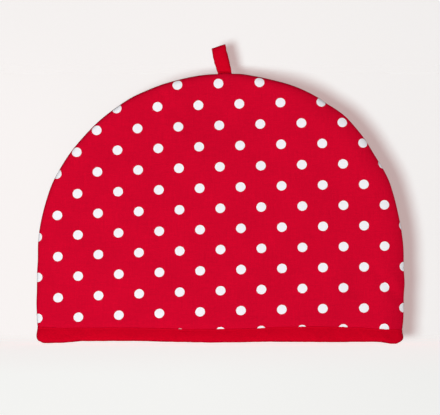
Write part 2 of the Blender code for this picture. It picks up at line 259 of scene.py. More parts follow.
def hem_row(panel, half, kind, value, inner):
    """One level row of the hem, as arrays over the columns."""
    at = half * columns(half_width(half, 0.0))
    under = half * columns(half_width(half, 0.0) - SEAM_STRIP)
    low = np.maximum(ease(HEM[panel], 1, at), ease(HEM[panel], 1, under))
    top = ease(HEM[panel], 2, at)
    if kind == "inside":
        bottom = low + TAPE + GAP + 0.5
        z = bottom + (top + 0.1 - bottom) * value
        tuck = np.array([tuck_share(up, inner) for up in z - top])
    elif kind == "over":
        z = top + value
        tuck = np.full_like(at, tuck_share(value - 0.1, inner))
    else:
        z = top + 6.0 + (30.0 - top - 6.0) * value
        tuck = np.zeros_like(at)
    inset = TUCK * tuck
    outline = half_width(half, z)
    width = outline + swell(half * outline, np.maximum(z, 0.0))
    width = width - (SEAM_STRIP if inner else WRAP * inset)
    if kind == "inside" and not inner:
        width = width - 0.25
    x = np.take_along_axis(columns(width), np.arange(COLUMNS)[:, None], 1)[:, 0]
    d, u = width - x, x / width
    if inner:
        y = inner_depth(z, d, u, HEM_THIN * tuck) + 0.5 * GAP
    else:
        form = edge_form(half * outline, z)
        y = outer_depth(panel, half * x, z, d, u, inset, form)
        y = np.maximum(y, 0.5 * GAP)
    return half * x, y, z, d


def rib_row(panel, half, foot, out_x, out_z, inner):
    length = math.hypot(out_x, out_z - foot)
    ux, uz = out_x / length, (out_z - foot) / length
    inset = SEAM_STRIP if inner else 0.0
    length -= inset
    s = columns(length)
    x, z, d = ux * s, foot + uz * s, length - s
    u = np.where(
        d < 1e-6, 1.0, np.abs(x) / np.maximum(half_width(half, z) - inset, 1e-3)
    )
    if inner:
        y = 0.5 * GAP + inner_depth(z, d, u, tall=CROWN - inset)
    else:
        form = edge_form(out_x, out_z)
        y = np.maximum(0.5 * GAP, outer_depth(panel, x, z, d, u, 0.0, form))
    return x, y, z, d


def half_rows(panel, half, inner):
    """All rows of one half: x, y, z, d arrays, outline length and kind."""
    rows = [hem_row(panel, half, "inside", v, inner) for v in HEM_SHARES]
    rows += [hem_row(panel, half, "over", v, inner) for v in STEP_UP]
    rows += [hem_row(panel, half, "level", v, inner) for v in TO_LEVEL]
    spring = ARCH[half][1]
    for k in range(LEVEL_STEPS):
        t = k / LEVEL_STEPS
        z = 30.0 + (spring - 30.0) * t
        x = half * float(half_width(half, z))
        x += half * float(swell(x, z))
        rows.append(
            rib_row(panel, half, 30.0 + (SPINE_FOOT - 30.0) * t, x, z, inner)
        )
    share = np.linspace(0.0, 1.0, FAN_STEPS + 1)
    ax, az, _ = arch(half, share)
    out = swell(ax, az) / np.hypot(ax, az)
    for s, x, z, o in zip(share, ax, az, out):
        foot = SPINE_FOOT + (SPINE_TOP - SPINE_FOOT) * s ** 0.9
        rows.append(
            rib_row(panel, half, foot, x * (1.0 + o), z * (1.0 + o), inner)
        )
    return [np.array([r[k] for r in rows]) for k in range(4)]


def whole_face(panel, inner):
    """The right half's rows and then the left half's, crown to hem."""
    right, left = (half_rows(panel, half, inner) for half in (1, -1))
    x, y, z, d = (
        np.concatenate([a, b[-2::-1]]) for a, b in zip(right, left)
    )
    count = len(right[0])
    total = len(x)
    for i in range(count - 1):                       # the halves share a spine
        twin = total - 1 - i
        for a in (y, z):
            a[i, 0] = a[twin, 0] = 0.5 * (a[i, 0] + a[twin, 0])
        x[i, 0] = x[twin, 0] = 0.0
    return x, y, z, d, count


def grid_normals(p):
    """Unit normals of a grid of points, turned to face away from y = 0."""
    along = np.gradient(p, axis=0)
    across = np.gradient(p, axis=1)
    n = np.cross(along, across)
    size = np.linalg.norm(n, axis=2, keepdims=True)
    return n / np.maximum(size, 1e-9)


def crease(x, z, a, b, depth, wide):
    """A soft trough from a to b with a low shoulder on each side."""
    a, b = np.array(a, float), np.array(b, float)
    run = np.linalg.norm(b - a)
    t = ((x - a[0]) * (b[0] - a[0]) + (z - a[1]) * (b[1] - a[1])) / run
    off = ((x - a[0]) * (b[1] - a[1]) - (z - a[1]) * (b[0] - a[0])) / run
    off = off + 0.045 * run * np.sin(2.6 * t / run + a[0])
    ends = smooth((t + 0.15 * run) / (0.45 * run))
    ends = ends * smooth((1.15 * run - t) / (0.45 * run))
    dip = np.exp(-((off / wide) ** 2)) - 0.45 * np.exp(
        -(((np.abs(off) - 1.9 * wide) / (1.1 * wide)) ** 2)
    )
    return -depth * ends * dip


CREASES = {
    -1: (
        ((138.0, 84.0), (176.0, 38.0), 0.75, 4.6),
        ((-139.0, 82.0), (-174.0, 40.0), 0.6, 4.8),
        ((120.0, 60.0), (158.0, 22.0), 0.4, 5.5),
        ((-60.0, 246.0), (-30.0, 214.0), 0.35, 5.0),
        ((52.0, 240.0), (34.0, 206.0), 0.3, 5.0),
        ((-158.0, 128.0), (-128.0, 112.0), 0.35, 5.2),
        ((168.0, 118.0), (136.0, 108.0), 0.4, 5.0),
        ((-20.0, 22.0), (-64.0, 46.0), 0.3, 6.0),
    ),
    1: (
        ((-134.0, 88.0), (-172.0, 42.0), 0.7, 5.0),
        ((140.0, 78.0), (174.0, 40.0), 0.65, 4.6),
        ((-100.0, 208.0), (-74.0, 176.0), 0.45, 5.5),
        ((82.0, 226.0), (62.0, 190.0), 0.4, 5.0),
        ((30.0, 24.0), (70.0, 52.0), 0.35, 6.0),
        ((-40.0, 20.0), (-70.0, 40.0), 0.3, 5.5),
    ),
}


def cloth_lumps(panel, x, z, d, length, top):
    """How far the padded cotton stands out of its plain form, in mm."""
    shape = x.shape
    flat = np.stack([x.ravel(), z.ravel(), np.zeros(x.size)], 1)
    seed = 3 if panel < 0 else 8
    broad = field(flat, 46.0, seed).reshape(shape)
    fine = field(flat, 21.0, seed + 1).reshape(shape)
    away = smooth((d - 2.0) / 22.0) * smooth((z - top - 1.0) / 16.0)
    h = away * (0.95 * broad + 0.42 * fine)

    # Puckers where the cloth is eased into the curved seam.
    run = np.stack([length.ravel(), d.ravel() * 0.22, np.full(x.size, 4.0)], 1)
    pull = field(run, 6.2, seed + 2).reshape(shape)
    where = field(run, 42.0, seed + 3).reshape(shape)
    reach = np.clip(0.55 + 0.9 * where, 0.15, 1.2)
    near = (d / 3.6) * np.exp(1.0 - d / 3.6)
    h = h + 0.42 * pull * reach * near * smooth((z - top) / 14.0)

    # Short pulls over the binding's stitching.
    over = z - top
    row = np.stack([x.ravel(), over.ravel() * 0.25, np.full(x.size, 9.0)], 1)
    tug = field(row, 6.5, seed + 4).reshape(shape)
    lift = np.exp(-((np.maximum(over, 0.0) / 7.5) ** 1.3))
    lift = lift * smooth((over - 0.4) / 3.0) * smooth(d / 8.0)
    h = h + 0.4 * tug * lift

    # Soft creases, and the pull of the loop at the crown.
    for a, b, depth, wide in CREASES[panel]:
        h = h + crease(x, z, a, b, depth, wide) * smooth(d / 9.0)
    for at, lean, depth, far in (
        (-2.6, -0.10, 0.34, 15.0), (2.9, 0.05, 0.42, 19.0), (8.6, 0.22, 0.36, 14.0),
    ):
        line = at + lean * (CROWN - z)
        down = smooth((CROWN - z) / 2.5) * smooth(1.0 - (CROWN - z) / far)
        h = h - depth * down * np.exp(-(((x - line) / 1.5) ** 2))
    return h


def spread_flat(x, y, z, d):
    """Where each point lies when the face is laid flat round its rim."""
    fx, fz = x.copy(), z.copy()
    start = FACE_STEPS
    step = np.sqrt(
        np.diff(x, axis=1) ** 2 + np.diff(y, axis=1) ** 2 + np.diff(z, axis=1) ** 2
    )
    plain = np.hypot(np.diff(x, axis=1), np.diff(z, axis=1))
    slope = plain[:, start - 2:start - 1] / step[:, start - 2:start - 1]
    extra = np.cumsum(np.maximum(step * slope - plain, 0.0)[:, start:], axis=1)
    ux, uz = x[:, -1] - x[:, start], z[:, -1] - z[:, start]
    size = np.hypot(ux, uz)
    fx[:, start + 1:] += extra * (ux / size)[:, None]
    fz[:, start + 1:] += extra * (uz / size)[:, None]
    return fx, fz


def seen(x, y, z):
    """Where the camera sees a point, on the plane y = 0, in mm."""
    k = AWAY / (AWAY + y)
    return LOOK_X + (x - LOOK_X) * k, LOOK_Z + (z - LOOK_Z) * k


def print_place(panel, x, y, z, fx, fz):
    """Place in the printed cloth, in mm: u along a row of dots, v down.

    The front's rows run nearly level and bow a little with the pull of the
    cloth.  The back is cut from another place in the same cloth.
    """
    sx, sz = seen(x, -np.abs(y), z)
    sx, sz = sx + (fx - x), sz + (fz - z)
    if panel > 0:
        sx = -sx
    # in steps of 0.978 mm from the middle of the face, down positive
    px, py = 220.7 + sx / 0.978, 343.3 - sz / 0.978
    if panel > 0:
        px, py = px + 13.0, py + 7.5
    cx, cy = (px - 220.0) / 100.0, (py - 208.0) / 100.0
    if panel < 0:
        bow_x = 0.052 * cx - 0.056 * cy + 0.279 * cx ** 2 - 0.263 * cx * cy
        bow_x = bow_x - 0.541 * cy ** 2 - 0.02
        bow_y = -0.036 * cx - 0.195 * cy + 0.684 * cx ** 2 + 0.039 * cx * cy
        bow_y = bow_y - 0.441 * cy ** 2 - 0.376
        # drawn up a little along the lower left seam
        bow_y = bow_y - 1.0 * smooth((-cx - 1.7) / 0.06) * smooth((cy - 0.35) / 0.25)
    else:
        bow_x = 0.3 * cx ** 2 - 0.35 * cx * cy + 0.2 * cy ** 2
        bow_y = 0.5 * cx ** 2 + 0.12 * cx * cy - 0.3 * cy ** 2
    qx, qy = px - bow_x - 219.791, py - bow_y - 208.172
    a, b = np.array((40.876, -1.324)), np.array((20.617, 20.052))
    size = a[0] * b[1] - a[1] * b[0]
    i = (qx * b[1] - qy * b[0]) / size
    j = (qy * a[0] - qx * a[1]) / size
    return DOT_PITCH * (i + 0.5 * j), ROW_PITCH * j


# ------------------------------------------------------------- materials --

def links(material):
    tree = material.node_tree
    shader = tree.nodes["Principled BSDF"]

    def make(kind, *inputs, **settings):
        node = tree.nodes.new("ShaderNode" + kind)
        for key, value in settings.items():
            setattr(node, key, value)
        for slot, value in enumerate(inputs):
            if value is None:
                continue
            if isinstance(value, bpy.types.NodeSocket):
                tree.links.new(value, node.inputs[slot])
            else:
                node.inputs[slot].default_value = value
        return node

    def math_node(operation, *inputs):
        return make("Math", *inputs, operation=operation).outputs[0]

    return tree, shader, make, math_node


def value_range(make, value, low, high, to_low, to_high, kind="SMOOTHSTEP"):
    node = make(
        "MapRange", value, low, high, to_low, to_high, interpolation_type=kind
    )
    return node.outputs[0]


def noise_at(make, where, scale, detail=2.0, rough=0.5):
    node = make("TexNoise", where)
    node.inputs["Scale"].default_value = scale
    node.inputs["Detail"].default_value = detail
    node.inputs["Roughness"].default_value = rough
    return node.outputs[0]


def mix_colour(make, share, a, b, kind="MIX"):
    node = make("Mix", data_type="RGBA", blend_type=kind)
    tree = node.id_data
    for name, value in (("Factor", share), ("A", a), ("B", b)):
        sockets = [
            s for s in node.inputs
            if s.name == name and s.type == ("VALUE" if name == "Factor" else "RGBA")
        ]
        socket = sockets[0]
        if isinstance(value, bpy.types.NodeSocket):
            tree.links.new(value, socket)
        else:
            socket.default_value = value
    return [s for s in node.outputs if s.type == "RGBA"][0]


def cotton(name, colour, turn=0.0, thread=0.36, dots=False, rough=0.86, depth=0.05):
    """Plain-weave cotton, drawn in the mm of the piece's "cloth" UV map."""
    material = bpy.data.materials.new(name)
    material.use_nodes = True
    tree, shader, make, calc = links(material)
    uv = make("UVMap", uv_map="cloth").outputs[0]
    turned = make("Mapping", uv).outputs[0]
    turned.node.inputs["Rotation"].default_value = (0.0, 0.0, math.radians(turn))
    split = make("SeparateXYZ", turned)
    u, v = split.outputs[0], split.outputs[1]

    # yarns of slightly uneven width
    slub_u = noise_at(make, make("Mapping", turned).outputs[0], 1.0, 1.0)
    slub_u.node.inputs[0].links[0].from_node.inputs["Scale"].default_value = (1.3, 0.05, 1.0)
    slub_v = noise_at(make, make("Mapping", turned).outputs[0], 1.0, 1.0)
    slub_v.node.inputs[0].links[0].from_node.inputs["Scale"].default_value = (0.05, 1.3, 1.0)
    pu = calc("MULTIPLY", calc("ADD", u, calc("MULTIPLY", slub_u, 0.16)), math.pi / thread)
    pv = calc("MULTIPLY", calc("ADD", v, calc("MULTIPLY", slub_v, 0.16)), math.pi / thread)
    su, sv = calc("SINE", pu), calc("SINE", pv)
    au, av = calc("ABSOLUTE", su), calc("ABSOLUTE", sv)
    over = calc("GREATER_THAN", calc("MULTIPLY", su, sv), 0.0)
    warp = calc("MULTIPLY", au, calc("MULTIPLY_ADD", av, 0.45, 0.55))
    weft = calc("MULTIPLY", av, calc("MULTIPLY_ADD", au, 0.45, 0.55))
    weave = calc("ADD", calc("MULTIPLY", over, warp),
                 calc("MULTIPLY", calc("SUBTRACT", 1.0, over), weft))

    # cloth colour: yarn tops paler than the gaps, which is painted shade in the weave's hollows, a faint
    # broad cast, faint slubs
    cast = noise_at(make, uv, 0.022, 3.0)
    fleck = noise_at(make, uv, 0.9, 2.0)
    patch = noise_at(make, uv, 0.3, 2.0)
    tone = calc("MULTIPLY_ADD", weave, 0.10, 0.94)
    tone = calc("MULTIPLY", tone, value_range(make, cast, 0.3, 0.7, 0.965, 1.035, "LINEAR"))
    tone = calc("MULTIPLY", tone, value_range(make, patch, 0.3, 0.7, 0.968, 1.032, "LINEAR"))
    tone = calc("MULTIPLY", tone, value_range(make, fleck, 0.3, 0.7, 0.92, 1.08, "LINEAR"))
    for slub in (slub_u, slub_v):
        tone = calc("MULTIPLY", tone, value_range(make, slub, 0.3, 0.7, 0.965, 1.035, "LINEAR"))
    base = mix_colour(make, 1.0, (*colour, 1.0), tone, "MULTIPLY")

    lift = calc("MULTIPLY", weave, 1.0)
    roughness = value_range(make, fleck, 0.3, 0.7, rough - 0.05, rough + 0.05, "LINEAR")
    if dots:
        cells = []
        split = make("SeparateXYZ", uv)
        for half in (0.0, 0.5):
            parts = []
            for value, pitch in ((split.outputs[0], DOT_PITCH), (split.outputs[1], 2.0 * ROW_PITCH)):
                cell = calc("FRACT", calc("MULTIPLY_ADD", value, 1.0 / pitch, half + 0.5))
                size = DOT_WIDE / (DOT_WIDE if pitch == DOT_PITCH else DOT_TALL)
                cell = calc("MULTIPLY_ADD", cell, size * pitch, -0.5 * size * pitch)
                parts.append(calc("MULTIPLY", cell, cell))
            cells.append(calc("SQRT", calc("ADD", *parts)))
        away = calc("MINIMUM", *cells)
        ragged = noise_at(make, uv, 1.6, 3.0)
        away = calc("ADD", away, calc("MULTIPLY_ADD", ragged, 0.5, -0.25))
        edge = calc("ADD", away, calc("MULTIPLY_ADD", weave, -0.12, 0.06))
        dot = value_range(make, edge, 0.5 * DOT_WIDE - 0.14, 0.5 * DOT_WIDE + 0.14, 1.0, 0.0)
        # painted shade: the print is a little darker in the weave's gaps, following the weave's height
        pale = calc("MULTIPLY_ADD", weave, 0.05, 0.955)
        pale = calc("MULTIPLY", pale, value_range(make, fleck, 0.3, 0.7, 0.985, 1.012, "LINEAR"))
        ink = mix_colour(make, 1.0, (0.868, 0.857, 0.893, 1.0), pale, "MULTIPLY")
        base = mix_colour(make, dot, base, ink)
        # the print fills the weave a little and dries smoother
        lift = calc("MULTIPLY", weave, calc("MULTIPLY_ADD", dot, -0.45, 1.0))
        lift = calc("ADD", lift, calc("MULTIPLY", dot, 0.35))
        roughness = calc("MULTIPLY_ADD", dot, -0.1, roughness)

    fuzz = noise_at(make, uv, 4.5, 2.0)
    height = calc("MULTIPLY_ADD", fuzz, 0.3, lift)
    bump = make("Bump")
    bump.inputs["Strength"].default_value = 0.55
    bump.inputs["Distance"].default_value = depth * MM
    tree.links.new(height, bump.inputs["Height"])
    tree.links.new(bump.outputs[0], shader.inputs["Normal"])
    tree.links.new(base, shader.inputs["Base Color"])
    tree.links.new(roughness, shader.inputs["Roughness"])
    shader.inputs["Specular IOR Level"].default_value = 0.012
    shader.inputs["Sheen Weight"].default_value = 0.02
    shader.inputs["Sheen Roughness"].default_value = 0.6
    shader.inputs["Sheen Tint"].default_value = (1.0, 0.05, 0.08, 1.0)
    return material


def thread(name, colour):
    """Twisted sewing thread, with its ply drawn along the "cloth" map."""
    material = bpy.data.materials.new(name)
    material.use_nodes = True
    tree, shader, make, calc = links(material)
    uv = make("UVMap", uv_map="cloth").outputs[0]
    split = make("SeparateXYZ", uv)
    ply = calc("SINE", calc("MULTIPLY", calc("ADD", split.outputs[0], split.outputs[1]), 14.0))
    fleck = noise_at(make, uv, 3.0, 2.0)
    # painted shade: the colour darkens in the grooves between the plies, as the bump does
    tone = calc("MULTIPLY_ADD", ply, 0.06, 0.96)
    tone = calc("MULTIPLY", tone, value_range(make, fleck, 0.3, 0.7, 0.95, 1.05, "LINEAR"))
    base = mix_colour(make, 1.0, (*colour, 1.0), tone, "MULTIPLY")
    bump = make("Bump")
    bump.inputs["Strength"].default_value = 0.5
    bump.inputs["Distance"].default_value = 0.03 * MM
    tree.links.new(calc("MULTIPLY_ADD", fleck, 0.5, ply), bump.inputs["Height"])
    tree.links.new(bump.outputs[0], shader.inputs["Normal"])
    tree.links.new(base, shader.inputs["Base Color"])
    tree.links.new(value_range(make, fleck, 0.3, 0.7, 0.55, 0.68, "LINEAR"), shader.inputs["Roughness"])
    shader.inputs["Specular IOR Level"].default_value = 0.04
    return material


RED_PANEL = (0.592, 0.0018, 0.0232)
RED_TAPE = (0.585, 0.0006, 0.0146)
dotted = cotton("dotted_cotton", RED_PANEL, dots=True)
plain = cotton("plain_cotton", (0.575, 0.0014, 0.020))
bias = cotton("bias_cotton", RED_TAPE, turn=45.0, thread=0.34)
tape = cotton("tape_cotton", RED_TAPE, turn=45.0, thread=0.34, depth=0.045)
sewing = thread("red_thread", (0.575, 0.001, 0.0165))


# ---------------------------------------------------------------- meshes --

def make_piece(name, points, faces, slots, materials, cloth, bake, sharp=48.0):
    """A smooth-shaded mesh object; cloth and bake are per face corner."""
    mesh = bpy.data.meshes.new(name)
    mesh.from_pydata([tuple(p) for p in np.asarray(points) * MM], [], faces)
    for material in materials:
        mesh.materials.append(material)
    mesh.polygons.foreach_set("material_index", np.array(slots, np.int32))
    for label, uv in (("cloth", cloth), ("OFBake", bake)):
        layer = mesh.uv_layers.new(name=label)
        layer.uv.foreach_set("vector", np.asarray(uv, np.float32).ravel())
    mesh.update()
    mesh.shade_smooth()
    mesh.set_sharp_from_angle(angle=math.radians(sharp))
    obj = bpy.data.objects.new(name, mesh)
    bpy.context.scene.collection.objects.link(obj)
    return obj


def turned_out(points, faces):
    """Faces in the order that makes the closed mesh's volume positive."""
    p = np.asarray(points, float)
    volume = 0.0
    for f in faces:
        a = p[f[0]]
        for b, c in zip(f[1:-1], f[2:]):
            volume += np.dot(a, np.cross(p[b], p[c]))
    return volume > 0.0


def panel_piece(name, panel):
    outer_x, outer_y, outer_z, outer_d, count = whole_face(panel, False)
    inner_x, inner_y, inner_z, inner_d, _ = whole_face(panel, True)
    total = len(outer_x)

    # Length along the outline, for the puckers.
    rim = np.hypot(np.diff(outer_x[:, -1]), np.diff(outer_z[:, -1]))
    length = np.concatenate([[0.0], np.cumsum(rim)])[:, None] + 0.0 * outer_x
    top = ease(HEM[panel], 2, outer_x)

    flat_x, flat_z = spread_flat(outer_x, outer_y, outer_z, outer_d)
    print_u, print_v = print_place(panel, outer_x, outer_y, outer_z, flat_x, flat_z)

    # The cloth turns in at the seam, so the widest line stands a little back.
    over = np.clip((outer_z - top) / 8.0, 0.0, 1.0)
    ux = outer_x[:, -1] - outer_x[:, FACE_STEPS]
    uz = outer_z[:, -1] - outer_z[:, FACE_STEPS]
    size = np.hypot(ux, uz)
    ux, uz = (ux / size)[:, None], (uz / size)[:, None]
    loop_near = np.exp(-(((outer_x - 3.6) / 7.4) ** 8)) * (outer_z > 200.0)
    deep = 0.85 + 0.55 * loop_near
    wide = 1.7 + 0.5 * loop_near
    turn_in = deep * np.clip(1.0 - outer_y / wide, 0.0, 1.0) ** 1.6
    push = 0.42 * np.clip(1.0 - outer_d / EDGE_ROUND, 0.0, 1.0) ** 2
    shift = smooth(over) * (push - turn_in)
    px, py, pz = outer_x + ux * shift, outer_y.copy(), outer_z + uz * shift

    # Lumps and creases, along the normal.
    p = np.stack([px, panel * py, pz], 2)
    n = grid_normals(p)
    n *= np.sign((n[:, :, 1] * panel).mean())
    n[:, 0] = (0.0, panel, 0.0)
    lumps = cloth_lumps(panel, outer_x, outer_z, outer_d, length, top)
    for i in range(count - 1):
        twin = total - 1 - i
        lumps[i, 0] = lumps[twin, 0] = 0.5 * (lumps[i, 0] + lumps[twin, 0])
    p = p + n * lumps[:, :, None]
    side = np.maximum(panel * p[:, :, 1], 0.5 * GAP)
    p[:, :, 1] = panel * side
    if panel < 0:
        # sewing in the loop pulls the cloth up into a low lip before it
        lip = np.exp(-(((outer_x - 3.7) / 6.6) ** 4)) * smooth((outer_z - 258.5) / 4.5)
        p[:, :, 2] += 1.15 * lip * smooth((side - 1.9) / 1.6)

    # The lining side follows the same lumps more softly.
    q = np.stack([inner_x, panel * inner_y, inner_z], 2)
    soft = field(
        np.stack([inner_x.ravel(), inner_z.ravel(), np.zeros(inner_x.size)], 1),
        30.0, 12 + panel,
    ).reshape(inner_x.shape)
    soft = soft * smooth((inner_d - 4.0) / 20.0) * smooth((inner_z - 22.0) / 18.0)
    for i in range(count - 1):
        twin = total - 1 - i
        soft[i, 0] = soft[twin, 0] = 0.5 * (soft[i, 0] + soft[twin, 0])
    q[:, :, 1] += panel * 0.5 * soft

    points, index = [], []
    for grid in (p, q):
        rows = np.zeros((total, COLUMNS), int)
        for i in range(total):
            twin = total - 1 - i
            for k in range(COLUMNS):
                if k == 0 and i >= count:
                    rows[i, 0] = rows[twin, 0]
                else:
                    rows[i, k] = len(points)
                    points.append(grid[i, k])
        index.append(rows)
    points = np.array(points)
    points[:, 0] -= MIDDLE

    faces, slots, cloth, bake = [], [], [], []
    wide, tall = 372.0, 276.0

    def outer_bake(i, k):
        return (
            0.008 + 0.984 * (flat_x[i, k] + 0.5 * wide) / wide,
            0.272 + 0.72 * (flat_z[i, k] + 1.0) / tall,
        )

    def inner_bake(i, k):
        return (
            0.01 + 0.34 * (inner_x[i, k] + 0.5 * wide) / wide,
            0.008 + 0.25 * (inner_z[i, k] + 1.0) / tall,
        )

    outer, lining = index
    for i in range(total - 1):
        for k in range(COLUMNS - 1):
            ring = ((i, k), (i, k + 1), (i + 1, k + 1), (i + 1, k))
            if outer[i, k] == outer[i + 1, k]:
                ring = ring[:3]
            faces.append([outer[r] for r in ring])
            slots.append(0)
            cloth += [(print_u[r], print_v[r]) for r in ring]
            bake += [outer_bake(*r) for r in ring]
            ring = ((i + 1, k), (i + 1, k + 1), (i, k + 1), (i, k))
            faces.append([lining[r] for r in ring])
            slots.append(1)
            cloth += [(inner_x[r], inner_z[r]) for r in ring]
            bake += [inner_bake(*r) for r in ring]
    last = COLUMNS - 1
    for i in range(total - 1):                       # seam strip
        faces.append([outer[i, last], lining[i, last], lining[i + 1, last], outer[i + 1, last]])
        slots.append(1)
        a, b = length[i, 0], length[i + 1, 0]
        cloth += [(a, 0.0), (a, 11.0), (b, 11.0), (b, 0.0)]
        a, b = (0.37 + 0.6 * t / length[-1, 0] for t in (a, b))
        bake += [(a, 0.06), (a, 0.01), (b, 0.01), (b, 0.06)]
    for i, order in ((0, 1), (total - 1, -1)):       # lower edge, in the hem
        for k in range(last):
            ring = [outer[i, k], lining[i, k], lining[i, k + 1], outer[i, k + 1]]
            corner = [(k, 0.0), (k, 5.0), (k + 1, 5.0), (k + 1, 0.0)]
            if order > 0:
                ring, corner = ring[::-1], corner[::-1]
            faces.append(ring)
            slots.append(1)
            cloth += [(4.0 * a, b) for a, b in corner]
            base = 0.08 if order > 0 else 0.15
            bake += [(0.37 + 0.6 * a / last, base + 0.01 * b) for a, b in corner]
    if not turned_out(points, faces):
        start, new_cloth, new_bake = 0, [], []
        for f in faces:
            end = start + len(f)
            new_cloth += cloth[start:end][::-1]
            new_bake += bake[start:end][::-1]
            start = end
        faces = [f[::-1] for f in faces]
        cloth, bake = new_cloth, new_bake
    return make_piece(
        name, points, faces, slots, [dotted, plain], cloth, bake
    )


# --------------------------------------------------------------- binding --

def binding_stations():
    """Places round the hem: panel, half, and a function of the width."""
    edge = [0.0, 0.35, 0.9, 1.7, 2.7, 3.9, 5.3, 6.8, 8.4, 10.1, 11.9, 13.8, 15.8,
            17.8, 19.9, 22.0, 23.5]
    steps = 98
    half_run = [("edge", d) for d in edge]
    half_run += [("face", 1.0 - k / steps) for k in range(steps)]
    out = []
    for panel, first in ((-1, -1), (1, 1)):
        out += [(panel, first, s) for s in half_run]
        out.append((panel, first, ("face", 0.0)))
        out += [(panel, -first, s) for s in half_run[::-1]]
        out.pop()                                    # the next side's corner
    return out


def along_width(place, width):
    kind, value = place
    return width - value if kind == "edge" else (width - 25.0) * value


def binding_point(panel, half, place, leg, inset, z):
    width = float(half_width(half, z))
    width += float(swell(half * width, max(z, 0.0)))
    if leg == "outer":
        form = edge_form(half * width, z)
        width -= WRAP * inset
        x = along_width(place, width)
        y = outer_depth(panel, half * x, z, width - x, x / width, inset, form)
    else:
        width -= SEAM_STRIP + 2.6 * inset
        x = along_width(place, width)
        y = inner_depth(z, width - x, x / width, HEM_THIN, inset)
    return half * x, float(y)


def both_halves(panel, half, place, leg, inset, z):
    """The same, with the two halves joined at the middle and the corner."""
    if place == ("face", 0.0):
        y = 0.5 * sum(binding_point(panel, h, place, leg, inset, z)[1] for h in (1, -1))
        return 0.0, y
    x, y = binding_point(panel, half, place, leg, inset, z)
    if place == ("edge", 0.0):
        y = 0.0
    return x, y


